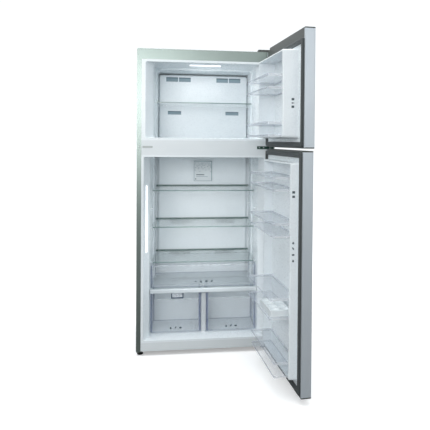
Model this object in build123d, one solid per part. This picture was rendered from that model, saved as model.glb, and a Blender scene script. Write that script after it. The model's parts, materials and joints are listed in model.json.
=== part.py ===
from build123d import *
import math
import os

# Top-freezer refrigerator with both doors standing open. Millimetres, +X to the right as seen from
# the front, +Y into the cabinet, +Z up. The origin is on the floor, below the middle of the front
# frame, so the frame's face is the plane Y = 0.

# ---- Driving dimensions: cabinet --------------------------------------------------------------
cabinet_width = 828.0
cabinet_depth = 690.0
floor_gap = 22.0  # floor to the lower edge of the side panels
sill_height = 62.0
fridge_opening_height = 1110.0
mullion_height = 112.0
freezer_opening_height = 460.0
top_frame = 13.0  # liner frame that shows above the freezer opening
top_bar_height = 64.0
steel = 1.0  # outer sheet
liner_wall = 2.5
trim_step = 12.0  # cover and sill overlap the liner's frame by this much from each opening
pan_lift = 8.0  # foam's sheet above the lower edge of the side panels
sill_lift = 5.0
bar_lip = 10.0
side_flange = 27.0  # front face of the folded side panel
cavity_shift = -10.0  # both cavities sit a little towards the opening side

# ---- Driving dimensions: cavities ---------------------------------------------------------------
back_wall = 58.0  # rear sheet, foam and liner
flare_depth = 60.0  # slanted lead-in behind each opening
fridge_frame_band = 51.0  # cabinet side to the edge of the opening
fridge_wall = 82.0
freezer_frame_band = 60.0
freezer_wall = 102.0
cavity_corner = 12.0
wall_step = 8.0  # the walls step inwards once, for moulding and for the shelf stops
fridge_step_depth = 450.0
freezer_step_depth = 310.0
hump_depth = 217.0  # room that the compressor bay takes from the cavity
hump_rise = 241.0
bay_wall = 45.0  # foam between the hump and the compressor bay
floor_lip = 3.0

# ---- Driving dimensions: doors ----------------------------------------------------------------
door_shell = 53.0
door_gap = 12.0  # inner door plane to the cabinet's face, taken up by the gasket
door_top_rise = 12.0  # the freezer door stands this far above the cabinet
split_above_fridge_opening = 54.0
split_gap = 12.0
door_bottom_clearance = 10.0
hinge_inset = 17.0
hinge_offset = 32.0  # hinge axis to the inner door plane
freezer_door_angle = 95.95
fridge_door_angle = 95.6
door_edge_radius = 5.0
cap_plate = 6.0
cap_face_top = 44.0
cap_face_bottom = 8.0
skin_return = 13.0
door_liner_wall = 2.0
gasket_width = 25.0
gasket_inset = 14.0
gasket_gap = 0.4
hinge_pocket = 62.0
hinge_pocket_depth = 14.0

# ---- Driving dimensions: door liners and bins ------------------------------------------------------
freezer_dyke_gap = 16.0  # rim to the cavity's wall
freezer_dyke_height = 82.0
fridge_dyke_gap = 10.0
fridge_dyke_height = 40.0
dyke_taper = 4.0
dyke_width = 20.0
dyke_end_width = 8.0  # the rim is thinner along its top and bottom
dyke_root_gap = 4.0  # rim's foot to the edge of the opening it goes into
dyke_edge_radius = 5.0
pan_recess = 10.0
pan_corner = 3.0
bin_corner = 14.0
bin_rim = 4.0
bin_rim_height = 6.0
bin_wall = 2.5
bin_clearance = 1.5
freezer_bin_reach = 146.0
freezer_bin_height = 66.0
freezer_bin_drops = (224.0, 466.0)
fridge_bin_reach = 114.0
fridge_bin_height = 63.0
fridge_bin_drops = (137.0, 370.0)
egg_bin_reach = 126.0
egg_bin_height = 98.0
egg_bin_rise = 374.0
bottle_bin_reach = 102.0
bottle_bin_height = 70.0
bottle_bin_rise = 78.0
egg_tray_length = 130.0
egg_tray_height = 30.0
egg_tray_inset = 30.0
egg_tray_spacing = 4.0
egg_well_radius = 24.0
egg_well_rise = 8.0  # centre of each well's sphere above the tray

# ---- Driving dimensions: inside the cabinet --------------------------------------------------------
glass = 4.0
shelf_front = 165.0
shelf_side_gap = 4.0
shelf_back_gap = 6.0
lower_shelf_rise = 445.0
middle_shelf_rise = 666.0
upper_shelf_rise = 896.0
freezer_shelf_rise = 228.0
lug_reach = 14.0
lug_height = 6.0
lug_length = 20.0
fridge_lug_front = 190.0
fridge_lug_setback = 92.0  # rear ledge, from the back of the cavity
crisper_lug_front = 150.0
crisper_lug_setback = 252.0
freezer_lug_front = 215.0
freezer_lug_setback = 132.0
freezer_shelf_front = 172.0
trim_depth = 5.0
trim_end_gap = 12.0
back_trim_rise = 6.0
light_half = 95.0
light_setback = 14.0
light_width = 26.0
light_height = 5.0
side_light_rise = 531.0
side_light_length = 404.0
side_light_width = 14.0
side_light_height = 3.0
duct_thickness = 26.0
duct_side_gap = 23.0
outlet_width = 132.0
outlet_height = 147.0
outlet_thickness = 12.0
outlet_drop = 36.0
outlet_hole = 2.6
outlet_pitch = 12.0
vent_near = 88.0  # air slots, from the cavity's middle
vent_far = 222.0
vent_height = 28.0
slot_pitch = 5.0
slot_bar = 2.0
grille_near = 88.0
grille_mid = 171.0
grille_far = 254.0
grille_gap = 8.0
grille_height = 30.0
low_grille_near = 152.0
low_grille_width = 90.0
low_grille_rise = 161.0
low_grille_height = 24.0
rail_front = 108.0
rail_depth = 20.0
rail_height = 26.0
rail_rise = 258.0
crisper_front = 134.0
crisper_height = 244.0
crisper_wall = 2.5
crisper_notch = 34.0
crisper_side_gap = 4.0
divider_half = 14.0
divider_gap = 4.0
chiller_front = 150.0
chiller_height = 140.0
slider_width = 76.0
slider_drop = 37.0  # how far the slide hangs below the rail
slider_left = 201.0
slider_wall = 2.5
notch_margin = 42.0
cover_depth = 72.0  # evaporator room behind the freezer back cover
cover_wall = 2.5
cover_margin = 8.0
cover_top_gap = 14.0
fan_rise = 290.0

# ---- Driving dimensions: hinges, feet, machinery ----------------------------------------------------
pin_radius = 4.0
pin_play = 0.08
pin_length = 28.0
boss_radius = 11.0
boss_end = 2.0
hinge_plate = 4.0
foot_radius = 18.0
foot_pad = 9.0
foot_stud_radius = 5.0
foot_inset = 4.0
foot_y = 40.0
screw_radius = 2.4
screw_play = 0.1
screw_head_radius = 4.2
screw_head_height = 2.6
hinge_round = 14.0
top_screws = (56.0, 6.0)  # screw places, from the hinge axis
top_screw_y = 42.0
mid_screws = (76.0, 50.0)
mid_plate = 3.0
roller_radius = 20.0
roller_width = 22.0
axle_radius = 4.0
fan_radius = 52.0
fan_blades = 5
compressor_radius = 78.0
compressor_height = 165.0
compressor_x = 150.0
inlet_x = 294.0
inlet_half = 24.0
inlet_height = 40.0
inlet_depth = 34.0
socket_half = 14.0
socket_height = 20.0
socket_depth = 18.0
fit = 0.3  # free running gap between separate pieces

# ---- Derived places --------------------------------------------------------------------------------
half = cabinet_width / 2
inner_half = half - steel
frame_half = half - side_flange
cavity_depth = cabinet_depth - back_wall
fridge_opening_half = half - fridge_frame_band
fridge_cavity_half = half - fridge_wall
freezer_opening_half = half - freezer_frame_band
freezer_cavity_half = half - freezer_wall
freezer_dyke_half = freezer_cavity_half - freezer_dyke_gap
fridge_dyke_half = fridge_cavity_half - fridge_dyke_gap
duct_half = fridge_cavity_half - wall_step - duct_side_gap
fridge_lug_depths = (fridge_lug_front, cavity_depth - fridge_lug_setback)
crisper_lug_depths = (crisper_lug_front, cavity_depth - crisper_lug_setback)
freezer_lug_depths = (freezer_lug_front, cavity_depth - freezer_lug_setback)
fridge_low = floor_gap + sill_lift + sill_height
fridge_high = fridge_low + fridge_opening_height
freezer_low = fridge_high + mullion_height
freezer_high = freezer_low + freezer_opening_height
bar_low = freezer_high + top_frame
cabinet_top = bar_low + top_bar_height
floor_z = fridge_low + floor_lip
freezer_floor = freezer_low + 6.0
freezer_ceiling = freezer_high - 6.0
fridge_ceiling = fridge_high - floor_lip
back_y = cabinet_depth - 2 * steel
hump_y = cavity_depth - hump_depth
hump_z = floor_z + hump_rise - floor_lip
bay_y = hump_y + liner_wall + bay_wall
bay_z = hump_z - liner_wall - bay_wall
pan_z = floor_gap + pan_lift
door_inner = -door_gap
door_outer = door_inner - door_shell
hinge_x = half - hinge_inset
hinge_y = door_inner - hinge_offset
split_low = fridge_high + split_above_fridge_opening
split_high = split_low + split_gap
freezer_door_top = cabinet_top + door_top_rise
fridge_door_bottom = floor_gap + door_bottom_clearance
gasket_face = -gasket_gap
duct_front = cavity_depth - duct_thickness
shelf_back = duct_front - shelf_back_gap
cover_front = cavity_depth - cover_depth
freezer_shelf_back = cover_front - shelf_back_gap
rail_low = fridge_low + rail_rise
rail_high = rail_low + rail_height
crisper_low = floor_z + 5.0
crisper_back = hump_y - 10.0
foot_x = half - foot_radius - foot_inset


def block(x0, x1, y0, y1, z0, z1):
    """Box between two corners."""
    centre = Pos((x0 + x1) / 2, (y0 + y1) / 2, (z0 + z1) / 2)
    return centre * Box(x1 - x0, y1 - y0, z1 - z0)


def upright_face(x0, x1, z0, z1, y, radius):
    """Rounded rectangle that stands in the plane Y = y."""
    plane = Plane(origin=((x0 + x1) / 2, y, (z0 + z1) / 2), x_dir=(1, 0, 0), z_dir=(0, -1, 0))
    return plane * RectangleRounded(x1 - x0, z1 - z0, radius)


def rounded_block(x0, x1, y0, y1, z0, z1, radius):
    """Block whose four edges along Y are rounded."""
    face = upright_face(x0, x1, z0, z1, y0, radius)
    return extrude(face, amount=y1 - y0, dir=(0, 1, 0))


def rod(radius, length, x, y, z, axis="Z"):
    """Cylinder that starts at a point and runs along an axis."""
    turn = {"Z": Rot(0, 0, 0), "X": Rot(0, 90, 0), "Y": Rot(-90, 0, 0)}[axis]
    place = Pos(x, y, z) * turn
    return place * Cylinder(radius, length, align=(Align.CENTER, Align.CENTER, Align.MIN))


def frustum(centre, root_half, z0, z1, y0, y1, taper, radius):
    """Block that narrows by taper on all four sides from y0 to y1."""
    root = upright_face(centre - root_half, centre + root_half, z0, z1, y0, radius)
    tip_half = root_half - taper
    tip = upright_face(centre - tip_half, centre + tip_half, z0 + taper, z1 - taper, y1, radius)
    return loft([root, tip])


# ---- Cabinet shell -----------------------------------------------------------------------------------
def side_panel(side):
    """Folded sheet: the cabinet's side and the narrow face that shows beside the door."""
    sheet = block(-half, -half + steel, 0, cabinet_depth, floor_gap, cabinet_top)
    flange = block(-half, -frame_half, 0, steel, floor_gap, cabinet_top)
    panel = sheet + flange
    return panel if side < 0 else mirror(panel, Plane.YZ)


def top_panel():
    """Top sheet with the front bar folded down between the two side faces."""
    sheet = block(-inner_half, inner_half, steel, cabinet_depth, cabinet_top - steel, cabinet_top)
    bar = block(-frame_half, frame_half, 0, steel, bar_low, cabinet_top)
    lip = block(-frame_half, frame_half, 0, bar_lip, bar_low, bar_low + steel)
    return sheet + bar + lip


def back_panel():
    """Rear sheet above the compressor bay."""
    return block(-inner_half, inner_half, back_y, cabinet_depth, bay_z, cabinet_top - steel)


def base_pan():
    """Sheet under the foam, folded up and back over the compressor bay."""
    low = block(-inner_half, inner_half, liner_wall, bay_y, pan_z, pan_z + steel)
    rise = block(-inner_half, inner_half, bay_y - steel, bay_y, pan_z, bay_z)
    roof = block(-inner_half, inner_half, bay_y - steel, back_y, bay_z - steel, bay_z)
    return low + rise + roof


def front_sill():
    """Face under the fridge opening with a floor flange that takes the two levelling feet."""
    low = floor_gap + sill_lift
    face = block(-frame_half, frame_half, 0, liner_wall, low, fridge_low - trim_step)
    flange = block(-inner_half, inner_half, steel, 2 * foot_y, low, pan_z)
    sill = face + flange
    for x in (-foot_x, foot_x):
        sill -= rod(foot_stud_radius + pin_play, pan_lift + sill_lift, x, foot_y, floor_gap)
    return sill


# ---- Liners -------------------------------------------------------------------------------------------
def fridge_cavity(grow):
    """Space inside the fridge compartment, with every face moved out by grow."""
    low = floor_z - grow
    high = fridge_ceiling + grow
    mouth_half = fridge_opening_half + grow
    wall_half = fridge_cavity_half + grow
    radius = cavity_corner
    left = cavity_shift - mouth_half
    right = cavity_shift + mouth_half
    mouth = upright_face(left, right, fridge_low - grow, fridge_high + grow, 0, radius)
    left = cavity_shift - wall_half
    right = cavity_shift + wall_half
    throat = upright_face(left, right, low, high, flare_depth, radius)
    space = loft([mouth, throat])
    space += rounded_block(left, right, flare_depth, fridge_step_depth + grow, low, high, radius)
    left += wall_step
    right -= wall_step
    space += rounded_block(left, right, flare_depth, cavity_depth + grow, low, high - wall_step, radius)
    hump = block(-half, half, hump_y + grow, cabinet_depth, 0, hump_z - grow)
    return space - hump


def freezer_cavity(grow):
    """Space inside the freezer compartment, with every face moved out by grow."""
    low = freezer_floor - grow
    high = freezer_ceiling + grow
    mouth_half = freezer_opening_half + grow
    wall_half = freezer_cavity_half + grow
    radius = cavity_corner
    left = cavity_shift - mouth_half
    right = cavity_shift + mouth_half
    mouth = upright_face(left, right, freezer_low - grow, freezer_high + grow, 0, radius)
    left = cavity_shift - wall_half
    right = cavity_shift + wall_half
    throat = upright_face(left, right, low, high, flare_depth, radius)
    space = loft([mouth, throat])
    space += rounded_block(left, right, flare_depth, freezer_step_depth + grow, low, high, radius)
    left += wall_step
    right -= wall_step
    space += rounded_block(left, right, flare_depth, cavity_depth + grow, low, high - wall_step, radius)
    return space


def shelf_lugs(top, cavity_half, step_depth, depths):
    """Ledges moulded into both walls under one shelf."""
    lugs = []
    for y in depths:
        wall = cavity_half if y < step_depth else cavity_half - wall_step
        for side in (-1, 1):
            outer = cavity_shift + side * (wall + liner_wall / 2)
            inner = cavity_shift + side * (wall - lug_reach)
            low_x = min(outer, inner)
            high_x = max(outer, inner)
            lugs.append(block(low_x, high_x, y, y + lug_length, top - lug_height, top))
    return lugs


shelf_tops = [fridge_low + rise for rise in (lower_shelf_rise, middle_shelf_rise, upper_shelf_rise)]
spare_lug_top = (shelf_tops[1] + shelf_tops[2]) / 2
freezer_shelf_top = freezer_low + freezer_shelf_rise
crisper_glass_top = rail_high


def fridge_liner():
    """Moulded inner wall of the fridge with its front frame, shelf ledges and crisper ledges."""
    frame_low = fridge_low - trim_step
    frame_high = fridge_high + trim_step
    shell = fridge_cavity(liner_wall)
    shell += block(-frame_half, frame_half, 0, liner_wall, frame_low, frame_high)
    shell -= fridge_cavity(0)
    for top in shelf_tops:
        for lug in shelf_lugs(top - glass, fridge_cavity_half, fridge_step_depth, fridge_lug_depths):
            shell += lug
    for lug in shelf_lugs(spare_lug_top, fridge_cavity_half, fridge_step_depth, fridge_lug_depths):
        shell += lug
    top = crisper_glass_top - glass
    for lug in shelf_lugs(top, fridge_cavity_half, fridge_step_depth, crisper_lug_depths):
        shell += lug
    return shell


def freezer_liner():
    """Moulded inner wall of the freezer with its front frame and shelf ledges."""
    shell = freezer_cavity(liner_wall)
    shell += block(-frame_half, frame_half, 0, liner_wall, freezer_low - trim_step, bar_low)
    shell -= freezer_cavity(0)
    top = freezer_shelf_top - glass
    for lug in shelf_lugs(top, freezer_cavity_half, freezer_step_depth, freezer_lug_depths):
        shell += lug
    return shell


def mullion_cover():
    """Front face between the two openings."""
    return block(-frame_half, frame_half, 0, liner_wall, fridge_high + trim_step, freezer_low - trim_step)


def cabinet_foam():
    """Blown insulation between the sheets and the liners."""
    foam = block(-inner_half, inner_half, liner_wall, back_y, pan_z + steel, cabinet_top - steel)
    foam -= block(-half, half, bay_y - steel, cabinet_depth, 0, bay_z)
    foam -= block(-frame_half, frame_half, 0, bar_lip, bar_low, bar_low + steel)
    foam -= fridge_cavity(liner_wall)
    foam -= freezer_cavity(liner_wall)
    return foam


# ---- Doors, built closed and then swung open about the hinge axis ---------------------------------------
def swing(shape, angle):
    """Turn a closed door piece about the vertical hinge axis to its open position."""
    return Pos(hinge_x, hinge_y, 0) * Rot(0, 0, angle) * Pos(-hinge_x, -hinge_y, 0) * shape


def door_outline(inset, z0, z1):
    """Plan of the door shell, with rounded front corners, raised from z0 to z1."""
    wide = half - inset
    front = door_outer + inset
    radius = door_edge_radius - inset
    plan = Pos(0, (front + door_inner) / 2) * Rectangle(2 * wide, door_inner - front)
    corners = plan.vertices().sort_by(Axis.Y)[:2]
    return Pos(0, 0, z0) * extrude(fillet(corners, radius), amount=z1 - z0)


def pocket(z1):
    """Corner left free for the top hinge arm and its cover."""
    low = z1 - hinge_pocket_depth
    high = z1 + 2 * cap_plate
    spare = 2 * cap_plate
    return block(half - hinge_pocket, half + spare, door_outer - spare, door_inner + spare, low, high)


def door_skin(z0, z1, pocketed):
    """Pre-coated steel wrapped round the front and both upright edges."""
    low = z0 + cap_plate
    high = z1 - cap_plate
    skin = door_outline(0, low, high) - door_outline(steel, low, high)
    for side in (-1, 1):
        edge = side * (half - steel)
        inner = side * (half - steel - skin_return)
        skin += block(min(edge, inner), max(edge, inner), door_inner - steel, door_inner, low, high)
    if pocketed:
        skin -= Pos(0, 0, -cap_plate) * pocket(z1)
    return skin


def end_caps(z0, z1, faces, pocketed, bosses):
    """Moulded caps that close the top and the bottom of the shell, with hinge bushes."""
    face_half = half - steel - skin_return
    top = door_outline(0, z1 - cap_plate, z1)
    if pocketed:
        step_low = z1 - hinge_pocket_depth - cap_plate
        edge = half - hinge_pocket
        top -= pocket(z1)
        shelf = block(edge, half, door_outer, door_inner, step_low, z1)
        top += door_outline(0, step_low, step_low + cap_plate) & shelf
        top += block(edge - cap_plate, edge, door_outer + 2 * steel, door_inner, step_low, z1 - cap_plate / 2)
    bottom = door_outline(0, z0, z0 + cap_plate)
    wall = door_liner_wall
    face_top = block(-face_half, face_half, door_inner - wall, door_inner, faces[1], z1 - cap_plate)
    if pocketed:
        face_top -= pocket(z1 - cap_plate)
    face_bottom = block(-face_half, face_half, door_inner - wall, door_inner, z0 + cap_plate, faces[0])
    top += face_top
    bottom += face_bottom
    bore = pin_radius + pin_play
    low, high = bosses
    top += rod(boss_radius, pin_length, hinge_x, hinge_y, high - pin_length)
    top -= rod(bore, pin_length, hinge_x, hinge_y, high - pin_length + boss_end)
    bottom += rod(boss_radius, pin_length, hinge_x, hinge_y, low)
    bottom -= rod(bore, pin_length - boss_end, hinge_x, hinge_y, low)
    return top, bottom


def door_liner_solids(centre, dyke_half, dyke_height, low, high):
    """Outer rim solid, its foam core and the pan between the rims."""
    taper = dyke_taper
    wall = door_liner_wall
    tip = door_inner + dyke_height
    start = door_inner - wall
    outer = frustum(centre, dyke_half, low, high, start, tip, taper, cavity_corner)
    outer = fillet(outer.faces().sort_by(Axis.Y)[-1].edges(), dyke_edge_radius)
    core = frustum(centre, dyke_half - wall, low + wall, high - wall, start, tip - wall, taper,
                   cavity_corner - wall)
    core = fillet(core.faces().sort_by(Axis.Y)[-1].edges(), dyke_edge_radius - wall)
    pan_half = dyke_half - taper - dyke_width
    pan_low = low + taper + dyke_end_width
    pan_high = high - taper - dyke_end_width
    floor = door_inner - pan_recess
    left = centre - pan_half
    right = centre + pan_half
    past = tip + dyke_edge_radius
    pan = rounded_block(left, right, floor, past, pan_low, pan_high, pan_corner)
    pan_wall = rounded_block(left - wall, right + wall, floor - wall, past, pan_low - wall, pan_high + wall,
                             pan_corner + wall)
    return outer, core, pan, pan_wall


def door_liner(centre, dyke_half, dyke_height, low, high, faces):
    """Vacuum-formed sheet: flat band, raised rim and a pan that the bins hang in."""
    outer, core, pan, pan_wall = door_liner_solids(centre, dyke_half, dyke_height, low, high)
    face_half = half - steel - skin_return
    sheet = block(-face_half, face_half, door_inner - door_liner_wall, door_inner, faces[0], faces[1])
    deep = block(-half, half, door_outer, door_inner, low, high)
    solid = sheet + outer + (pan_wall & deep)
    return solid - (core - pan_wall) - pan


def door_foam(z0, z1, centre, dyke_half, dyke_height, low, high, bosses, pocketed):
    """Blown insulation inside the door, including the rim."""
    outer, core, pan, pan_wall = door_liner_solids(centre, dyke_half, dyke_height, low, high)
    wall = door_liner_wall
    shell = door_outline(steel, z0 + cap_plate, z1 - cap_plate)
    foam = shell & block(-half, half, door_outer, door_inner - wall, z0, z1)
    foam = foam + core - pan_wall
    if pocketed:
        foam -= Pos(-cap_plate, 0, -cap_plate) * pocket(z1)
    low_end, high_end = bosses
    length = pin_length + fit
    foam -= rod(boss_radius + fit, length, hinge_x, hinge_y, low_end)
    foam -= rod(boss_radius + fit, length, hinge_x, hinge_y, high_end - length)
    return foam


def gasket(low, high):
    """Magnetic seal: a bellows strip round the door, drawn lightly pressed."""
    outer_half = half - gasket_inset
    inner_side = outer_half - gasket_width
    ring = rounded_block(-outer_half, outer_half, door_inner, gasket_face, low, high, 4.0)
    ring -= rounded_block(-inner_side, inner_side, door_inner - 1, gasket_face + 1,
                          low + gasket_width, high - gasket_width, 2.0)
    groove = rounded_block(-outer_half + 9, outer_half - 9, gasket_face - 4, gasket_face + 1,
                           low + 9, high - 9, 3.0)
    groove -= rounded_block(-outer_half + 13, outer_half - 13, gasket_face - 5, gasket_face + 2,
                            low + 13, high - 13, 3.0)
    return ring - groove


def bin_block(centre, side, back, front, z0, z1, radius):
    """Upright block whose two front corners are rounded."""
    shape = block(centre - side, centre + side, back, front, z0, z1)
    return fillet(shape.edges().filter_by(Axis.Z).sort_by(Axis.Y)[-2:], radius)


def door_bin(centre, pan_half, reach, z0, height):
    """Clear open bin that hangs between the rims of the door liner."""
    side = pan_half - bin_clearance
    back = door_inner - pan_recess + bin_clearance
    wall = bin_wall
    top = z0 + height
    outer = bin_block(centre, side, back, reach, z0, top, bin_corner)
    hollow = bin_block(centre, side - wall, back + wall, reach - wall, z0 + wall, top + wall, bin_corner - wall)
    rim = bin_block(centre, side, back, reach, top - bin_rim_height, top, bin_corner)
    mouth_half = side - bin_rim
    mouth = block(centre - mouth_half, centre + mouth_half, back + bin_rim, reach - bin_rim, z0, top + wall)
    return outer - hollow + (rim - mouth - hollow)


def egg_trays(centre, pan_half, z0):
    """Two nested egg holders that stand in the tall bin."""
    around = bin_wall + 2.0
    side = pan_half - bin_clearance - around
    back = door_inner - pan_recess + bin_clearance + around
    front = egg_bin_reach - around
    near = back + 20.0
    far = front - 10.0
    trays = []
    for index in range(2):
        left = centre - side + egg_tray_inset + index * (egg_tray_length + egg_tray_spacing)
        tray = block(left, left + egg_tray_length, near, far, z0, z0 + egg_tray_height)
        tray = fillet(tray.edges().filter_by(Axis.Z), 8.0)
        for column in range(2):
            for row in range(2):
                x = left + egg_tray_length * (0.27 + 0.46 * column)
                y = near + (far - near) * (0.27 + 0.46 * row)
                tray -= Pos(x, y, z0 + egg_tray_height + egg_well_rise) * Sphere(egg_well_radius)
        trays.append(tray)
    return trays


# ---- Hinges -----------------------------------------------------------------------------------------------
def top_hinge():
    """Steel arm on the roof with the pin that drops into the freezer door."""
    low = cabinet_top + fit
    arm = block(hinge_x - hinge_round, hinge_x + hinge_round, hinge_y, 30, low, low + hinge_plate)
    arm += rod(hinge_round, hinge_plate, hinge_x, hinge_y, low)
    arm += block(hinge_x - 5 * hinge_round, hinge_x + hinge_round, 8, 60, low, low + hinge_plate)
    pin_low = cabinet_top - pin_length + boss_end
    arm += rod(pin_radius, low - pin_low + hinge_plate / 2, hinge_x, hinge_y, pin_low)
    for inset in top_screws:
        arm -= rod(screw_radius + screw_play, 2 * hinge_plate, hinge_x - inset, top_screw_y, low - 1)
    return arm


def top_hinge_cover():
    """Moulded hood over the hinge on the roof."""
    wall = 2.0
    low = cabinet_top + fit
    high = freezer_door_top + wall
    root_left = hinge_x - 86
    nose = hinge_round + wall
    hood = block(root_left, hinge_x + nose, 3, 72, low, high)
    hood += block(hinge_x - nose, hinge_x + nose, hinge_y - nose, 3, low, high)
    hood = fillet(hood.edges().filter_by(Axis.Z), 3.0)
    room = hinge_round + 2 * fit
    inside = block(root_left + wall, hinge_x + room, 3 + wall, 72 - wall, low - 1, high - wall)
    inside += block(hinge_x - room, hinge_x + room, hinge_y - room, 3 + wall, low - 1, high - wall)
    return hood - inside


def middle_hinge():
    """Bracket on the mullion with one pin up into the freezer door and one down into the fridge door."""
    z = (split_low + split_high) / 2
    thick = hinge_plate / 2
    plate = block(hinge_x - 90, frame_half - 3, -mid_plate, 0, z - 9, z + 9)
    arm = block(hinge_x - 40, hinge_x + hinge_round, hinge_y, 0, z - thick, z + thick)
    arm += rod(hinge_round, hinge_plate, hinge_x, hinge_y, z - thick)
    arm -= block(hinge_x - 41, hinge_x - hinge_round, hinge_y - 1, -door_gap, z - hinge_plate, z + hinge_plate)
    pin = rod(pin_radius, 2 * pin_length, hinge_x, hinge_y, z - pin_length)
    bracket = plate + arm + pin
    for inset in mid_screws:
        bracket -= rod(screw_radius + screw_play, 10, hinge_x - inset, -8, z, "Y")
    return bracket


def bottom_hinge():
    """Bracket under the sill with the pin that carries the fridge door."""
    low = floor_gap - 1
    high = low + hinge_plate
    root = hinge_x - 60
    plate = block(root, hinge_x + hinge_round, hinge_y, 0, low, high)
    plate += block(root, frame_half, 0, 18, low, high)
    plate += rod(hinge_round, hinge_plate, hinge_x, hinge_y, low)
    tab = block(root, frame_half, steel, 18, high, floor_gap + sill_lift)
    plate -= block(root - 1, hinge_x - hinge_round, hinge_y - hinge_round - 1, 0, low - 1, high + 1)
    pin = rod(pin_radius, fridge_door_bottom + pin_length - 6 - low, hinge_x, hinge_y, low)
    washer = rod(2 * pin_radius + 1, fridge_door_bottom - high - fit, hinge_x, hinge_y, high)
    return plate + tab + pin + washer


def hinge_screws():
    """Pan-head screws of the top and the middle hinge."""
    screws = []
    top_z = cabinet_top + fit + hinge_plate
    for inset in top_screws:
        shank = rod(screw_radius, hinge_plate, hinge_x - inset, top_screw_y, top_z - hinge_plate)
        screws.append(shank + rod(screw_head_radius, screw_head_height, hinge_x - inset, top_screw_y, top_z))
    mid_z = (split_low + split_high) / 2
    face = -mid_plate
    for inset in mid_screws:
        shank = rod(screw_radius, -face, hinge_x - inset, face, mid_z, "Y")
        head_y = face - screw_head_height
        screws.append(shank + rod(screw_head_radius, screw_head_height, hinge_x - inset, head_y, mid_z, "Y"))
    return Compound(children=screws)


def hole_plugs():
    """Blanking pieces on the opening side, where the hinges go on a left-hung cabinet."""
    z = (split_low + split_high) / 2
    button = rod(4.5, 1.5, -half + 15, -1.5, z, "Y")
    strip = block(-frame_half + 6, -frame_half + 66, -1.2, 0, z - 6, z + 6)
    strip = fillet(strip.edges().filter_by(Axis.Y), 4.0)
    return Compound(children=[button, strip])


# ---- Freezer fittings ------------------------------------------------------------------------------------
cover_half = freezer_cavity_half - wall_step - cover_margin
cover_low = freezer_floor + 2.0
cover_high = freezer_ceiling - wall_step - cover_top_gap
fan_z = freezer_floor + fan_rise


def slot_rows(x0, x1, z0, z1, front):
    """A grille: level slots between two heights, cut through a cover's front wall."""
    slots = []
    for i in range(int((z1 - z0 + slot_bar) / slot_pitch)):
        low = z0 + i * slot_pitch
        slots.append(block(x0, x1, front - 1, front + cover_wall + 1, low, low + slot_pitch - slot_bar))
    return slots


def freezer_back_cover():
    """Moulded tray in front of the evaporator, with four air grilles."""
    left = cavity_shift - cover_half
    right = cavity_shift + cover_half
    back = cavity_depth - fit
    cover = rounded_block(left, right, cover_front, back, cover_low, cover_high, 10.0)
    cover -= rounded_block(left + cover_wall, right - cover_wall, cover_front + cover_wall, back + 1,
                           cover_low + cover_wall, cover_high - cover_wall, 8.0)
    slots = []
    high = cover_high - 10
    spans = ((grille_near, grille_mid - grille_gap / 2), (grille_mid + grille_gap / 2, grille_far))
    for side in (-1, 1):
        for near, far in spans:
            x0 = cavity_shift + min(side * near, side * far)
            slots += slot_rows(x0, x0 + far - near, high - grille_height, high, cover_front)
        x0 = cavity_shift + min(side * low_grille_near, side * (low_grille_near + low_grille_width))
        low = freezer_floor + low_grille_rise
        slots += slot_rows(x0, x0 + low_grille_width, low, low + low_grille_height, cover_front)
    for slot in slots:
        cover -= slot
    return cover


def serpentine(x0, x1, z0, runs, pitch, y, radius):
    """Tube bent back and forth in one upright plane."""
    points = []
    for i in range(runs):
        z = z0 + i * pitch
        ends = (x0, x1) if i % 2 == 0 else (x1, x0)
        points += [(ends[0], y, z), (ends[1], y, z)]
    path = FilletPolyline(*points, radius=pitch * 0.49)
    start = Plane(origin=path @ 0, z_dir=path % 0)
    return sweep(start * Circle(radius), path=path)


def evaporator():
    """Finned aluminium coil behind the freezer cover."""
    y = cover_front + cover_depth * 0.55
    low = freezer_floor + 30.0
    coil = serpentine(cavity_shift - 200, cavity_shift + 200, low, 7, 26.0, y, 4.0)
    for i in range(13):
        x = cavity_shift - 168 + i * 28
        coil += block(x - 0.6, x + 0.6, y - 22, y + 22, low - 10, low + 166)
    return coil


def fan_motor():
    """Small motor on the liner's back wall that turns the freezer fan."""
    y = cavity_depth - fit
    body = rod(27, 22, cavity_shift, y - 22, fan_z, "Y")
    body += rod(3, 26, cavity_shift, y - 44, fan_z, "Y")
    for turn in range(3):
        angle = math.radians(90 + 120 * turn)
        x = cavity_shift + 38 * math.cos(angle)
        z = fan_z + 38 * math.sin(angle)
        body += block(min(x, cavity_shift) - 4, max(x, cavity_shift) + 4, y - 3, y,
                      min(z, fan_z) - 4, max(z, fan_z) + 4)
    return body


def fan_blade():
    """Axial fan pushed on the motor's shaft."""
    y = cavity_depth - fit - 42
    hub = rod(16, 16, cavity_shift, y, fan_z, "Y") - rod(3 + pin_play, 17, cavity_shift, y - 0.5, fan_z, "Y")
    fan = hub
    for i in range(fan_blades):
        vane = Pos(0, 0, (fan_radius + 14) / 2) * Rot(0, 0, 35) * Box(26, 2.0, fan_radius - 14)
        fan += Pos(cavity_shift, y + 8, fan_z) * Rot(0, 360 / fan_blades * i, 0) * vane
    return fan


def freezer_light():
    """Level light bar under the freezer ceiling."""
    y = flare_depth + light_setback
    z = freezer_ceiling - fit
    bar = block(cavity_shift - light_half, cavity_shift + light_half, y, y + light_width, z - light_height, z)
    return fillet(bar.edges().filter_by(Axis.Z), light_width / 4)


def shelf_glass(top, front, back, cavity_half, step_depth):
    """Toughened glass plate, narrower at the back where the walls step in."""
    wide = cavity_half - shelf_side_gap
    narrow = wide - wall_step
    low = top - glass
    plate = block(cavity_shift - wide, cavity_shift + wide, front, step_depth - 8, low, top)
    plate += block(cavity_shift - narrow, cavity_shift + narrow, front, back, low, top)
    corners = plate.edges().filter_by(Axis.Z).sort_by(Axis.Y)[:2]
    return fillet(corners, 10.0)


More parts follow.
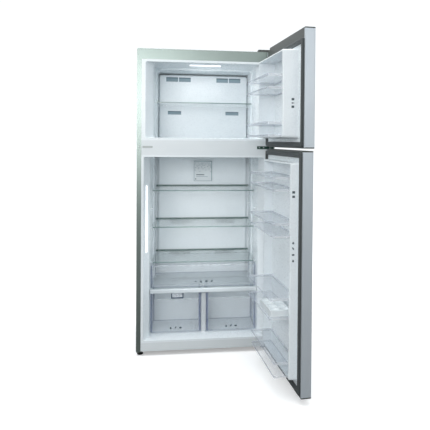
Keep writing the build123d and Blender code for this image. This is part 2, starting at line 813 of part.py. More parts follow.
def freezer_shelf():
    """Glass shelf of the freezer."""
    return shelf_glass(freezer_shelf_top, freezer_shelf_front, freezer_shelf_back, freezer_cavity_half,
                       freezer_step_depth)


def front_strip(cavity_half, front, top):
    """Strip along the front edge of one glass shelf."""
    wide = cavity_half - shelf_side_gap - trim_end_gap
    return block(cavity_shift - wide, cavity_shift + wide, front - trim_depth, front, top - glass - 1, top + 1)


def shelf_trims():
    """Edge strips of the four glass shelves, with an upstand behind each fridge shelf."""
    strips = [front_strip(freezer_cavity_half, freezer_shelf_front, freezer_shelf_top)]
    narrow = fridge_cavity_half - shelf_side_gap - wall_step
    left = cavity_shift - narrow
    right = cavity_shift + narrow
    for top in shelf_tops:
        strips.append(front_strip(fridge_cavity_half, shelf_front, top))
        low = top - glass - 2
        strips.append(block(left, right, shelf_back, shelf_back + 4, low, top + back_trim_rise))
    return Compound(children=strips)


# ---- Fridge fittings --------------------------------------------------------------------------------------
outlet_high = fridge_ceiling - outlet_drop
outlet_low = outlet_high - outlet_height
duct_low = hump_z + 8.0
duct_high = fridge_ceiling - wall_step - 4.0


def duct_cover():
    """Hollow panel on the back wall that spreads the cold air, with two rows of vents."""
    left = cavity_shift - duct_half
    right = cavity_shift + duct_half
    wall = cover_wall
    back = cavity_depth - fit
    duct = rounded_block(left, right, duct_front, back, duct_low, duct_high, 10.0)
    duct -= rounded_block(left + wall, right - wall, duct_front + wall, back + 1,
                          duct_low + wall, duct_high - wall, 8.0)
    for shelf in shelf_tops[:2]:
        for side in (-1, 1):
            x0 = cavity_shift + min(side * vent_near, side * vent_far)
            high = shelf - 8
            for slot in slot_rows(x0, x0 + vent_far - vent_near, high - vent_height, high, duct_front):
                duct -= slot
    return duct


def air_outlet():
    """Square cover at the top of the duct, with rows of small air holes."""
    left = cavity_shift - outlet_width / 2
    right = cavity_shift + outlet_width / 2
    front = duct_front - outlet_thickness
    wall = 2.0
    cover = rounded_block(left, right, front, duct_front, outlet_low, outlet_high, 10.0)
    cover -= rounded_block(left + wall, right - wall, front + wall, duct_front + 1, outlet_low + wall,
                           outlet_high - wall, 8.0)
    columns = 9
    rows = 4
    for i in range(columns):
        for j in range(rows):
            x = cavity_shift + (i - (columns - 1) / 2) * outlet_pitch
            z = outlet_high - 22 - j * outlet_pitch
            cover -= rod(outlet_hole, 3 * wall, x, front - wall, z, "Y")
    return cover


def fridge_light():
    """Upright light strip on the slanted left lead-in of the fridge."""
    slope = math.degrees(math.atan2(fridge_opening_half - fridge_cavity_half, flare_depth))
    z0 = fridge_low + side_light_rise
    wide = side_light_width / 2
    strip = block(-wide, wide, -side_light_height, 0, z0, z0 + side_light_length)
    x = cavity_shift - (fridge_opening_half + fridge_cavity_half) / 2
    lean = Pos(x, flare_depth / 2, 0) * Rot(0, 0, 90 - slope)
    return lean * Pos(0, -fit, 0) * strip


def crisper_cover():
    """Glass plate over the two crispers."""
    wide = fridge_cavity_half - shelf_side_gap
    narrow = wide - wall_step
    front = rail_front + rail_depth + 6.0
    low = crisper_glass_top - glass
    top = crisper_glass_top
    plate = block(cavity_shift - wide, cavity_shift + wide, front, fridge_step_depth - 8, low, top)
    plate += block(cavity_shift - narrow, cavity_shift + narrow, front, shelf_back, low, top)
    return plate


def crisper_rail():
    """White front rail over the crispers, with a tail that holds the glass."""
    wide = fridge_cavity_half - 2.0
    back = rail_front + rail_depth
    rail = block(cavity_shift - wide, cavity_shift + wide, rail_front, back, rail_low, rail_high)
    rail = fillet(rail.edges().filter_by(Axis.X).sort_by(Axis.Y)[:2], 5.0)
    rail -= block(cavity_shift - wide + 3, cavity_shift + wide - 3, rail_front + 2.5, back + 1,
                  rail_low + 2.5, rail_high - 2.5)
    for side in (-1, 1):
        edge = cavity_shift + side * wide
        inner = edge - side * 10.0
        rail += block(min(edge, inner), max(edge, inner), back - 1, back + 6, crisper_glass_top - 16,
                      crisper_glass_top)
    return rail


def humidity_slider():
    """Clear slide behind the rail that opens or shuts the crisper's air slot."""
    y = rail_front + rail_depth + fit
    left = cavity_shift - slider_left
    right = left + slider_width
    low = rail_low - slider_drop
    high = crisper_glass_top - glass - 2 * fit
    rim = 3.0
    plate = block(left, right, y, y + slider_wall, low, high)
    frame = block(left, right, y, y + slider_wall + 1.5, low, high)
    frame -= block(left + rim, right - rim, y - 1, y + 10, low + rim, high + 1)
    return plate + frame


def open_tray(x0, x1, y0, y1, z0, z1, wall, radius):
    """Box without a lid, with rounded upright corners."""
    outer = fillet(block(x0, x1, y0, y1, z0, z1).edges().filter_by(Axis.Z), radius)
    hollow = block(x0 + wall, x1 - wall, y0 + wall, y1 - wall, z0 + wall, z1 + 5)
    return outer - fillet(hollow.edges().filter_by(Axis.Z), radius - wall)


def crisper(side):
    """Clear vegetable drawer with a low hand notch in its front wall."""
    outer = cavity_shift + side * (fridge_cavity_half - crisper_side_gap)
    inner = cavity_shift + side * (divider_half + divider_gap)
    left = min(outer, inner)
    right = max(outer, inner)
    high = crisper_low + crisper_height
    drawer = open_tray(left, right, crisper_front, crisper_back, crisper_low, high, crisper_wall, 10.0)
    inside = crisper_front + crisper_wall
    notch_left = left + notch_margin
    notch_right = right - notch_margin
    notch_low = high - crisper_notch
    drawer -= block(notch_left, notch_right, crisper_front - 1, inside + 1, notch_low, high + 1)
    return drawer + block(notch_left, notch_right, crisper_front - 3, inside, notch_low - 4, notch_low)


def crisper_divider():
    """Upright hollow post between the crispers."""
    left = cavity_shift - divider_half
    right = cavity_shift + divider_half
    wall = crisper_wall
    post = block(left, right, crisper_front + 2, crisper_back, floor_z, rail_low - 1)
    return post - block(left + wall, right - wall, crisper_front + 6, crisper_back + 1, floor_z - 1, rail_low)


def chiller_drawer():
    """Shallow clear drawer under the lowest shelf, that slides out over the rail."""
    wide = fridge_cavity_half - shelf_side_gap
    narrow = wide - wall_step
    low = crisper_glass_top + 1.0
    high = low + chiller_height
    step = fridge_step_depth - 12
    back = shelf_back - 4
    left = cavity_shift - wide
    right = cavity_shift + wide
    wall = crisper_wall
    outer = fillet(block(left, right, chiller_front, step, low, high).edges().filter_by(Axis.Z), 8.0)
    outer += block(left + wall_step, right - wall_step, chiller_front + 10, back, low, high)
    inner_low = low + wall
    hollow = block(left + wall, right - wall, chiller_front + wall, step - wall, inner_low, high + 1)
    hollow = fillet(hollow.edges().filter_by(Axis.Z), 8.0 - wall)
    tail = narrow - wall
    left_tail = cavity_shift - tail
    right_tail = cavity_shift + tail
    hollow += block(left_tail, right_tail, chiller_front + 10, back - wall, inner_low, high + 1)
    lip = block(left + 30, right - 30, chiller_front - 5, chiller_front + wall, high - 4, high)
    return outer - hollow + lip


# ---- Compressor bay ----------------------------------------------------------------------------------------
bay_floor = 2 * roller_radius + 5.0
roller_x = inner_half - 44.0
roller_y = cabinet_depth - 50.0


def base_plate():
    """Pressed steel tray that carries the compressor, with the roller forks."""
    sheet = 2.0
    plate = block(-inner_half, inner_half, bay_y + 1, back_y - 1, bay_floor, bay_floor + sheet)
    for side in (-1, 1):
        for offset in (-1, 1):
            x = side * roller_x + offset * (roller_width / 2 + 1.5)
            plate += block(x - 1, x + 1, roller_y - 14, roller_y + 14, roller_radius - 8, bay_floor)
        start = side * roller_x - roller_width / 2 - 2
        plate += rod(axle_radius, roller_width + 4, start, roller_y, roller_radius, "X")
    return plate


def rear_roller(side):
    """Plastic roller on its fixed axle."""
    start = side * roller_x - roller_width / 2
    wheel = rod(roller_radius, roller_width, start, roller_y, roller_radius, "X")
    wheel = fillet(wheel.edges().filter_by(GeomType.CIRCLE), 2.0)
    return wheel - rod(axle_radius + pin_play, roller_width + 2, start - 1, roller_y, roller_radius, "X")


def front_foot(side):
    """Levelling foot: ribbed pad with a stud through the sill flange."""
    pad = rod(foot_radius, foot_pad, side * foot_x, foot_y, 0)
    pad = chamfer(pad.edges().filter_by(GeomType.CIRCLE), 1.5)
    neck = rod(foot_radius * 0.55, 6, side * foot_x, foot_y, foot_pad)
    stud = rod(foot_stud_radius, pan_z - 0.5 - foot_pad, side * foot_x, foot_y, foot_pad)
    return pad + neck + stud


compressor_y = (bay_y + back_y) / 2
inlet_z = pan_z + 30.0


def compressor():
    """Welded steel pot with its foot plate."""
    low = bay_floor + 12.0
    pot = rod(compressor_radius, compressor_height, compressor_x, compressor_y, low)
    pot = fillet(pot.edges().filter_by(GeomType.CIRCLE), 38.0)
    foot = block(compressor_x - 95, compressor_x + 95, compressor_y - 60, compressor_y + 60, low, low + 3)
    legs = [rod(9, low - bay_floor - 2, compressor_x + dx, compressor_y + dy, bay_floor + 2)
            for dx in (-82, 82) for dy in (-48, 48)]
    shape = pot + foot
    for leg in legs:
        shape += leg
    return shape


def condenser():
    """Steel tube coil in the compressor bay."""
    return serpentine(-inner_half + 60, compressor_x - 130, bay_floor + 36, 6, 26.0, bay_y + 60, 3.0)


def drain_pan():
    """Open tray under the coil that catches the melt water."""
    left = -inner_half + 40
    right = compressor_x - 110
    low = bay_floor + 3
    return open_tray(left, right, bay_y + 20, back_y - 30, low, low + 22, 2.0, 8.0)


def compressor_cover():
    """Rear cover of the bay with rows of cooling slots and a window for the mains inlet."""
    cover = block(-inner_half, inner_half, back_y, cabinet_depth, pan_z, bay_z - 2)
    low = pan_z + 60
    window_low = inlet_z + (inlet_height - socket_height) / 2
    cover -= block(inlet_x - socket_half, inlet_x + socket_half, back_y - 1, cabinet_depth + 1,
                   window_low, window_low + socket_height)
    for row in range(6):
        for column in range(8):
            x = (column - 3.5) * 84
            z = low + row * 20
            if abs(x - inlet_x) < 60 and row < 2:
                continue
            cover -= block(x - 32, x + 32, back_y - 1, cabinet_depth + 1, z, z + 7)
    return cover


def mains_inlet():
    """Appliance inlet housing behind the rear cover, where the supply enters."""
    back = back_y - fit
    high = inlet_z + inlet_height
    rim = (inlet_height - socket_height) / 2
    inlet = block(inlet_x - inlet_half, inlet_x + inlet_half, back - inlet_depth, back, inlet_z, high)
    inlet -= block(inlet_x - socket_half, inlet_x + socket_half, back - socket_depth, back + 1,
                   inlet_z + rim, high - rim)
    return inlet


# ---- Assembly ---------------------------------------------------------------------------------------------
freezer_z = (split_high, freezer_door_top)
fridge_z = (fridge_door_bottom, split_low)
freezer_gasket = (split_high + 7.0, bar_low + gasket_width + 1.0)
fridge_gasket = (fridge_low - gasket_width - 19.0, split_low - 10.0)
freezer_faces = (split_high + cap_plate + cap_face_bottom, freezer_door_top - cap_plate - cap_face_top)
fridge_faces = (fridge_door_bottom + cap_plate + cap_face_bottom, split_low - cap_plate - cap_face_bottom)
freezer_rim = (freezer_low + dyke_root_gap, freezer_high - dyke_root_gap)
fridge_rim = (fridge_low + dyke_root_gap, fridge_high - dyke_root_gap)
pocket_floor = freezer_door_top - hinge_pocket_depth
freezer_bosses = (split_high, pocket_floor)
fridge_bosses = (fridge_door_bottom, split_low)


def door_pieces(name, limits, angle, dyke_half, dyke_height, rim, faces, seal, bosses, pocketed):
    """Shell, caps, foam, liner and gasket of one door, in its open position."""
    z0, z1 = limits
    caps = end_caps(z0, z1, faces, pocketed, bosses)
    pieces = {
        name + "_skin": door_skin(z0, z1, pocketed),
        name + "_end_caps": Compound(children=list(caps)),
        name + "_foam": door_foam(z0, z1, cavity_shift, dyke_half, dyke_height, *rim, bosses, pocketed),
        name + "_liner": door_liner(cavity_shift, dyke_half, dyke_height, *rim, faces),
        name + "_gasket": gasket(*seal),
    }
    return {key: swing(piece, angle) for key, piece in pieces.items()}


def bin_pieces():
    """Door bins and egg holders, in the open position of their doors."""
    freezer_pan = freezer_dyke_half - dyke_taper - dyke_width
    fridge_pan = fridge_dyke_half - dyke_taper - dyke_width
    upper = []
    for drop in freezer_bin_drops:
        low = freezer_door_top - drop - freezer_bin_height
        upper.append(door_bin(cavity_shift, freezer_pan, freezer_bin_reach, low, freezer_bin_height))
    small = []
    for drop in fridge_bin_drops:
        low = split_low - drop - fridge_bin_height
        small.append(door_bin(cavity_shift, fridge_pan, fridge_bin_reach, low, fridge_bin_height))
    egg_z = fridge_door_bottom + egg_bin_rise
    egg = door_bin(cavity_shift, fridge_pan, egg_bin_reach, egg_z, egg_bin_height)
    bottle_z = fridge_door_bottom + bottle_bin_rise
    bottle = door_bin(cavity_shift, fridge_pan, bottle_bin_reach, bottle_z, bottle_bin_height)
    trays = egg_trays(cavity_shift, fridge_pan, egg_z + bin_wall)
    return {
        "freezer_door_bins": swing(Compound(children=upper), freezer_door_angle),
        "fridge_door_bins": swing(Compound(children=small), fridge_door_angle),
        "egg_bin": swing(egg, fridge_door_angle),
        "bottle_bin": swing(bottle, fridge_door_angle),
        "egg_trays": swing(Compound(children=trays), fridge_door_angle),
    }


parts = {
    "side_panel_left": side_panel(-1),
    "side_panel_right": side_panel(1),
    "top_panel": top_panel(),
    "back_panel": back_panel(),
    "base_pan": base_pan(),
    "front_sill": front_sill(),
    "cabinet_foam": cabinet_foam(),
    "freezer_liner": freezer_liner(),
    "fridge_liner": fridge_liner(),
    "mullion_cover": mullion_cover(),
    "top_hinge": top_hinge(),
    "top_hinge_cover": top_hinge_cover(),
    "middle_hinge": middle_hinge(),
    "bottom_hinge": bottom_hinge(),
    "hinge_screws": hinge_screws(),
    "hole_plugs": hole_plugs(),
    "freezer_back_cover": freezer_back_cover(),
    "evaporator": evaporator(),
    "fan_motor": fan_motor(),
    "fan_blade": fan_blade(),
    "cabinet_lights": Compound(children=[freezer_light(), fridge_light()]),
    "freezer_shelf": freezer_shelf(),
    "duct_cover": duct_cover(),
    "air_outlet": air_outlet(),
    "shelf_trims": shelf_trims(),
    "crisper_cover": crisper_cover(),
    "crisper_rail": crisper_rail(),
    "humidity_slider": humidity_slider(),
    "chiller_drawer": chiller_drawer(),
    "crisper_left": crisper(-1),
    "crisper_right": crisper(1),
    "crisper_divider": crisper_divider(),
    "base_plate": base_plate(),
    "compressor": compressor(),
    "condenser": condenser(),
    "drain_pan": drain_pan(),
    "compressor_cover": compressor_cover(),
    "mains_inlet": mains_inlet(),
    "front_foot_left": front_foot(-1),
    "front_foot_right": front_foot(1),
    "rear_roller_left": rear_roller(-1),
    "rear_roller_right": rear_roller(1),
}
for label, top in zip(("lower_shelf", "middle_shelf", "upper_shelf"), shelf_tops):
    parts[label] = shelf_glass(top, shelf_front, shelf_back, fridge_cavity_half, fridge_step_depth)
parts.update(door_pieces("freezer_door", freezer_z, freezer_door_angle, freezer_dyke_half,
                         freezer_dyke_height, freezer_rim, freezer_faces, freezer_gasket, freezer_bosses, True))
parts.update(door_pieces("fridge_door", fridge_z, fridge_door_angle, fridge_dyke_half,
                         fridge_dyke_height, fridge_rim, fridge_faces, fridge_gasket, fridge_bosses, False))
parts.update(bin_pieces())

os.makedirs("parts", exist_ok=True)
for name, shape in parts.items():
    export_step(shape, "parts/" + name + ".step")
print(len(parts), "pieces")
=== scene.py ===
import json
import math

import bmesh
import bpy
from mathutils import Matrix, Vector


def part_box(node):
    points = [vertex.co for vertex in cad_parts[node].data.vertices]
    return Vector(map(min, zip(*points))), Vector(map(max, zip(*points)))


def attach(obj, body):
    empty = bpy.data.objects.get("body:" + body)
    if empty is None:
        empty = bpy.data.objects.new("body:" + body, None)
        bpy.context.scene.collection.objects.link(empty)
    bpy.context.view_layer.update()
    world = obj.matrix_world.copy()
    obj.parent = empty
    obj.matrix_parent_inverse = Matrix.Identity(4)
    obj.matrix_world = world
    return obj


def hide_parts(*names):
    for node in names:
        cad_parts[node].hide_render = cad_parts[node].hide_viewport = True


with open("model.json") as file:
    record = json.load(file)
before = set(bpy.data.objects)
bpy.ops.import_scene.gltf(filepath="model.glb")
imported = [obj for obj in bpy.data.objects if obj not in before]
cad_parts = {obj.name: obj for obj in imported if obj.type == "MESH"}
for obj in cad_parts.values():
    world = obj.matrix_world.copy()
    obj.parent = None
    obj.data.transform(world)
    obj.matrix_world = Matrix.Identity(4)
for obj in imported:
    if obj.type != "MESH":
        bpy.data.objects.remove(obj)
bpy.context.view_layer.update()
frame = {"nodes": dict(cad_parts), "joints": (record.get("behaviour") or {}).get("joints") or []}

# ---- Studio ---------------------------------------------------------------------------------------
# A white paper floor and surround with three large soft lamps. The camera stands a little left of
# the middle at chest height. The paper bounces less light than it shows, as a dark studio floor does.


def linear(code):
    """sRGB hex colour to linear red, green, blue and alpha."""
    parts = [int(code[i:i + 2], 16) / 255 for i in (1, 3, 5)]
    return tuple(c / 12.92 if c <= 0.04045 else ((c + 0.055) / 1.055) ** 2.4 for c in parts) + (1.0,)


def add(tree, kind, sockets=(), **settings):
    """Adds one shader node with its settings; a socket takes a value or another node's output."""
    node = tree.nodes.new("ShaderNode" + kind)
    for key, value in settings.items():
        setattr(node, key, value)
    for key, value in dict(sockets).items():
        if isinstance(value, bpy.types.NodeSocket):
            tree.links.new(value, node.inputs[key])
        else:
            node.inputs[key].default_value = value
    return node


def paper_floor():
    """White paper roll with a faint fibre grain."""
    made = bpy.data.materials.new("white_background_paper")
    made.use_nodes = True
    tree = made.node_tree
    shader = tree.nodes["Principled BSDF"]
    place = add(tree, "TexCoord").outputs["Object"]
    fibre = add(tree, "TexNoise", {"Vector": place, "Scale": 1 / 0.004, "Detail": 3.0})
    seen = add(tree, "LightPath").outputs["Is Camera Ray"]
    white = add(tree, "MapRange", {"Value": fibre.outputs["Fac"], "To Min": 0.9, "To Max": 0.93})
    level = add(tree, "MapRange", {"Value": seen, "To Min": 0.11, "To Max": white.outputs[0]})
    colour = add(tree, "CombineColor", {0: level.outputs[0], 1: level.outputs[0], 2: level.outputs[0]})
    glow = add(tree, "MapRange", {"Value": seen, "To Min": 0.0, "To Max": 0.3})
    tree.links.new(colour.outputs[0], shader.inputs["Base Color"])
    tree.links.new(glow.outputs[0], shader.inputs["Emission Strength"])
    shader.inputs["Emission Color"].default_value = linear("#ffffff")
    shader.inputs["Roughness"].default_value = 0.95
    bpy.ops.mesh.primitive_grid_add(x_subdivisions=8, y_subdivisions=8, size=60.0, location=(0, 0, -0.0005))
    floor = bpy.context.object
    floor.name = "paper_floor"
    floor.data.materials.append(made)


def surround():
    """Even cool white light from all sides, and plain white behind the object."""
    world = bpy.data.worlds.new("white_surround")
    world.use_nodes = True
    tree = world.node_tree
    seen = add(tree, "LightPath").outputs["Is Camera Ray"]
    level = add(tree, "MapRange", {"Value": seen, "To Min": 0.92, "To Max": 1.1})
    tree.nodes["Background"].inputs["Color"].default_value = linear("#f7fbfd")
    tree.links.new(level.outputs[0], tree.nodes["Background"].inputs["Strength"])
    bpy.context.scene.world = world


def soft_lamp(name, place, target, size, power, length=None):
    """Soft box or light strip aimed at a point."""
    data = bpy.data.lights.new(name, "AREA")
    data.shape = "RECTANGLE"
    data.size = size
    data.size_y = length or size
    data.energy = power
    lamp = bpy.data.objects.new(name, data)
    bpy.context.scene.collection.objects.link(lamp)
    lamp.location = place
    lamp.rotation_euler = (Vector(target) - Vector(place)).to_track_quat("-Z", "Y").to_euler()


def camera():
    """Level view from just left of the middle, with the frame shifted to hold both open doors."""
    yaw, pitch, roll = 0.16783, 0.01845, 0.00911
    forward = Vector((math.sin(yaw) * math.cos(pitch), math.cos(yaw) * math.cos(pitch), -math.sin(pitch)))
    level_right = Vector((math.cos(yaw), -math.sin(yaw), 0))
    level_up = level_right.cross(forward)
    right = level_right * math.cos(roll) + level_up * math.sin(roll)
    up = level_up * math.cos(roll) - level_right * math.sin(roll)
    data = bpy.data.cameras.new("camera")
    data.sensor_width = 36.0
    data.lens = 53.355
    data.shift_x = -0.1929
    data.shift_y = -0.1442
    view = bpy.data.objects.new("camera", data)
    bpy.context.scene.collection.objects.link(view)
    place = Vector((-0.1002, -3.9140, 1.3010))
    view.matrix_world = Matrix([(right[i], up[i], -forward[i], place[i]) for i in range(3)] + [(0, 0, 0, 1)])
    bpy.context.scene.camera = view


paper_floor()
surround()
camera()
bpy.context.scene.view_settings.view_transform = "Standard"
bpy.context.scene.cycles.transparent_max_bounces = 32
soft_lamp("left_soft_box", (-1.05, -4.6, 1.85), (0, 0.3, 1.3), 1.8, 53, 0.9)
soft_lamp("right_soft_box", (1.5, -4.4, 2.1), (0, 0.3, 1.25), 1.4, 6, 0.7)
soft_lamp("top_soft_box", (-0.2, 0.3, 4.2), (0, 0.3, 0), 2.6, 87)

# ---- Cabinet steel ----------------------------------------------------------------------------------
# The sides, the top and the top bar are one silver powder coat on folded sheet. A very low orange
# peel stirs its reflections. The back, the base and the bay's cover are bare galvanised sheet.
cloud_size = 0.09


def finish(made, *names):
    """Gives CAD pieces their finish."""
    for name in names:
        slots = frame["nodes"][name].data.materials
        slots.clear()
        slots.append(made)


def surface(name, light, dark, grain_mm, bump_mm, **sockets):
    """Principled finish whose colour wanders between two tones and whose bump has a real grain size."""
    made = bpy.data.materials.new(name)
    made.use_nodes = True
    tree = made.node_tree
    shader = tree.nodes["Principled BSDF"]
    for key, value in sockets.items():
        shader.inputs[key.replace("_", " ")].default_value = value
    place = add(tree, "TexCoord").outputs["Object"]
    cloud = add(tree, "TexNoise", {"Vector": place, "Scale": 1 / cloud_size, "Detail": 2.0})
    tone = add(tree, "Mix", {0: cloud.outputs["Fac"], 6: linear(dark), 7: linear(light)}, data_type="RGBA")
    tree.links.new(tone.outputs[2], shader.inputs["Base Color"])
    grain = add(tree, "TexNoise", {"Vector": place, "Scale": 1000 / grain_mm, "Detail": 2.0})
    bump = add(tree, "Bump", {"Height": grain.outputs["Fac"], "Distance": bump_mm / 1000, "Strength": 0.6})
    tree.links.new(bump.outputs[0], shader.inputs["Normal"])
    rough = shader.inputs["Roughness"].default_value
    spread = add(tree, "MapRange", {"Value": grain.outputs["Fac"], "To Min": rough * 0.85,
                                    "To Max": rough * 1.15})
    tree.links.new(spread.outputs[0], shader.inputs["Roughness"])
    return made


silver = surface("silver_powder_coat_on_steel", "#87928e", "#808b87", 2.5, 0.05, Metallic=0.88,
                 Roughness=0.32)
finish(silver, "side_panel_left", "side_panel_right", "top_panel")
zinc_sheet = surface("bare_galvanised_sheet", "#c4c8c8", "#adb2b2", 14.0, 0.05, Metallic=0.9,
                     Roughness=0.45)
finish(zinc_sheet, "back_panel", "base_pan", "base_plate", "compressor_cover")

# ---- Liners -----------------------------------------------------------------------------------------
# Both compartments are vacuum-formed from white polystyrene, which is glossy and very slightly
# blue. The frame, the mullion and the sill under the doors are the same white.
polystyrene = surface("white_polystyrene_vacuum_formed", "#f1f7fa", "#eaf1f5", 6.0, 0.04,
                      Roughness=0.28, IOR=1.59)
finish(polystyrene, "freezer_liner", "fridge_liner", "freezer_back_cover", "duct_cover")
moulded_white = surface("white_polystyrene_moulded", "#e6ecee", "#dfe6e9", 1.5, 0.03,
                        Roughness=0.35, IOR=1.59)
finish(moulded_white, "mullion_cover", "front_sill", "air_outlet", "egg_trays")
rail_white = surface("pale_grey_polystyrene_moulded", "#d3dade", "#c9d1d6", 1.5, 0.03,
                     Roughness=0.4, IOR=1.59)
finish(rail_white, "crisper_rail")
foam = surface("polyurethane_foam_blown", "#e6d9ac", "#d8c891", 3.0, 0.8, Roughness=0.95)
finish(foam, "cabinet_foam", "freezer_door_foam", "fridge_door_foam")

# ---- Grilles and outlet -----------------------------------------------------------------------------
# The freezer's rear cover has four slotted grilles. Flat plates of painted shade in two tones lie over
# the slots, hide them and stand in for their shadow. A foam strip, a guess, hides the joint round the
# cover. The fridge's outlet has a stippled upper half and a plain lower one with a thin ridge; the
# stipple, frame and ridge are coloured blue-grey as painted shade of their relief, and a few small
# slate marks are print.
smooth_limit = math.radians(35)


def piece(name, shape, finishes, body, slot, *stands_for):
    """Turns mesh work into a piece that rides on a CAD body."""
    bmesh.ops.recalc_face_normals(shape, faces=shape.faces)
    mesh = bpy.data.meshes.new(name)
    shape.to_mesh(mesh)
    shape.free()
    mesh.shade_smooth()
    mesh.set_sharp_from_angle(angle=smooth_limit)
    for made in finishes:
        mesh.materials.append(made)
    item = bpy.data.objects.new(name, mesh)
    bpy.context.scene.collection.objects.link(item)
    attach(item, body)
    if stands_for:
        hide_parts(*stands_for)


def bar(shape, x, y, z, kind=0):
    """Straight bar spanning three ranges."""
    made = bmesh.ops.create_cube(shape, size=1.0, matrix=Matrix.Translation(
        ((x[0] + x[1]) / 2, (y[0] + y[1]) / 2, (z[0] + z[1]) / 2)) @ Matrix.Diagonal(
        (x[1] - x[0], y[1] - y[0], z[1] - z[0], 1)))
    for vert in made["verts"]:
        for face in vert.link_faces:
            face.material_index = kind


def grille_plates():
    """Flat plates of painted shade over each grille, with a darker band of painted shadow along the top,
    split by a pale rib in the upper pair.
    """
    low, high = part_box("freezer_back_cover")
    middle = (low.x + high.x) / 2
    shape = bmesh.new()
    upper = (0.088, 0.254, high.z - 0.040, high.z - 0.010)
    lower = (0.152, 0.242, low.z + 0.158, low.z + 0.182)
    proud = 0.0004
    sunk = 0.0002
    painted_shadow_band = 0.008
    rib_centre = 0.171
    rib_half = 0.003
    front = low.y - proud
    for near, far, bottom, top in (upper, lower):
        for side in (-1, 1):
            x = sorted((middle + side * near, middle + side * far))
            # Painted shadow: a darker band under each grille's top edge, over paler painted shade below.
            bar(shape, x, (front, low.y + sunk), (top - painted_shadow_band, top), 1)
            bar(shape, x, (front, low.y + sunk), (bottom, top - painted_shadow_band), 0)
            if near == upper[0]:
                rib = middle + side * rib_centre
                bar(shape, (rib - rib_half, rib + rib_half), (front - proud, low.y), (bottom, top), 2)
    # Both colours are painted shade and shadow of the grille's recess; the rib is plain white polystyrene.
    shade = surface("blue_grey_painted_shade", "#93a7b1", "#8ba0aa", 2.0, 0.03, Roughness=0.5)
    deep = surface("slate_painted_shadow", "#6f838d", "#677b86", 2.0, 0.03, Roughness=0.5)
    piece("freezer_grille_painted_shade", shape, (shade, deep, polystyrene), "cabinet", "white_trim")


def cover_seal():
    """Foam strip round the rear cover."""
    low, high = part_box("freezer_back_cover")
    wide = 0.0035
    depth = (low.y + 0.001, low.y + 0.012)
    shape = bmesh.new()
    bar(shape, (low.x - wide, low.x), depth, (low.z, high.z))
    bar(shape, (high.x, high.x + wide), depth, (low.z, high.z))
    bar(shape, (low.x, high.x), depth, (high.z, high.z + wide))
    strip = surface("pale_blue_grey_foam_strip", "#dfe9ee", "#d6e1e7", 1.0, 0.05, Roughness=0.8)
    piece("freezer_cover_seal", shape, (strip,), "cabinet", "white_trim")


def outlet_face():
    """Stippled upper half, thin frame and small ridges of the fridge's air outlet, coloured blue-grey as
    painted shade of the relief, with small slate printed marks.
    """
    low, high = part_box("air_outlet")
    front = low.y
    shape = bmesh.new()
    edge = 0.004
    stipple_rows = 8
    stipple_columns = 11
    stipple_pitch = (0.0105, 0.0085)
    stipple_half = (0.0026, 0.0018)
    for x, z in (((low.x + edge, high.x - edge), (high.z - 2 * edge, high.z - edge)),
                 ((low.x + edge, high.x - edge), (low.z + edge, low.z + 1.5 * edge)),
                 ((low.x + edge, low.x + 1.5 * edge), (low.z + edge, high.z - edge)),
                 ((high.x - 2 * edge, high.x - edge), (low.z + edge, high.z - edge))):
        bar(shape, x, (front - 0.0004, front + 0.0005), z, 0)
    bar(shape, (low.x + 0.02, low.x + 0.075), (front - 0.0005, front), (low.z + 0.045, low.z + 0.050), 1)
    bar(shape, (low.x + 0.02, low.x + 0.10), (front - 0.0004, front), (low.z + 0.034, low.z + 0.036), 0)
    bar(shape, (low.x + 0.012, low.x + 0.020), (front - 0.0005, front), (low.z + 0.015, low.z + 0.021), 1)
    for row in range(stipple_rows):
        for column in range(stipple_columns):
            swing = math.sin(1.7 * column + 2.3 * row) + math.cos(2.9 * column - 1.3 * row)
            if swing < 0.25 * (row - 3):
                continue
            x = low.x + 0.014 + column * stipple_pitch[0] + 0.002 * math.sin(5 * row)
            z = high.z - 0.016 - row * stipple_pitch[1]
            bar(shape, (x - stipple_half[0], x + stipple_half[0]), (front - 0.0004, front),
                (z - stipple_half[1], z + stipple_half[1]), 0)
    # Painted shade: the stipple, frame and ridge take a blue-grey that stands in for the shade of their
    # relief; the slate marks are print.
    relief = surface("blue_grey_painted_relief_shade", "#8fa3ad", "#8398a3", 0.8, 0.02, Roughness=0.5)
    line = surface("slate_relief_print", "#56666f", "#4e5e67", 0.8, 0.02, Roughness=0.5)
    piece("air_outlet_relief", shape, (relief, line), "cabinet", "white_trim")


grille_plates()
cover_seal()
outlet_face()

# ---- Clear parts ------------------------------------------------------------------------------------
# Bins and drawers are crystal polystyrene. Seen face on they almost vanish. On the drawers the corners
# and bottom edges are coloured violet grey, partly the tint of the longer way through the plastic and
# partly painted shade. Their moulded rims, and the bins' corners and rims, carry a pale line of painted
# highlight.
flow_size = 0.03


def clear_finish(name, face, edge, face_alpha, edge_alpha, **sockets):
    """See-through finish that grows denser and darker towards its glancing edges."""
    made = bpy.data.materials.new(name)
    made.use_nodes = True
    tree = made.node_tree
    shader = tree.nodes["Principled BSDF"]
    for key, value in sockets.items():
        shader.inputs[key.replace("_", " ")].default_value = value
    facing = add(tree, "LayerWeight", {"Blend": 0.3}).outputs["Facing"]
    place = add(tree, "TexCoord").outputs["Object"]
    flow = add(tree, "TexNoise", {"Vector": place, "Scale": 1 / flow_size, "Detail": 1.0})
    tone = add(tree, "Mix", {0: facing, 6: linear(face), 7: linear(edge)}, data_type="RGBA")
    tree.links.new(tone.outputs[2], shader.inputs["Base Color"])
    steep = add(tree, "MapRange", {"Value": facing, "From Min": 0.2, "From Max": 1.0, "To Min": face_alpha,
                                   "To Max": edge_alpha})
    drift = add(tree, "MapRange", {"Value": flow.outputs["Fac"], "To Min": 0.85, "To Max": 1.15})
    alpha = add(tree, "Math", {0: steep.outputs[0], 1: drift.outputs[0]}, operation="MULTIPLY")
    tree.links.new(alpha.outputs[0], shader.inputs["Alpha"])
    return made


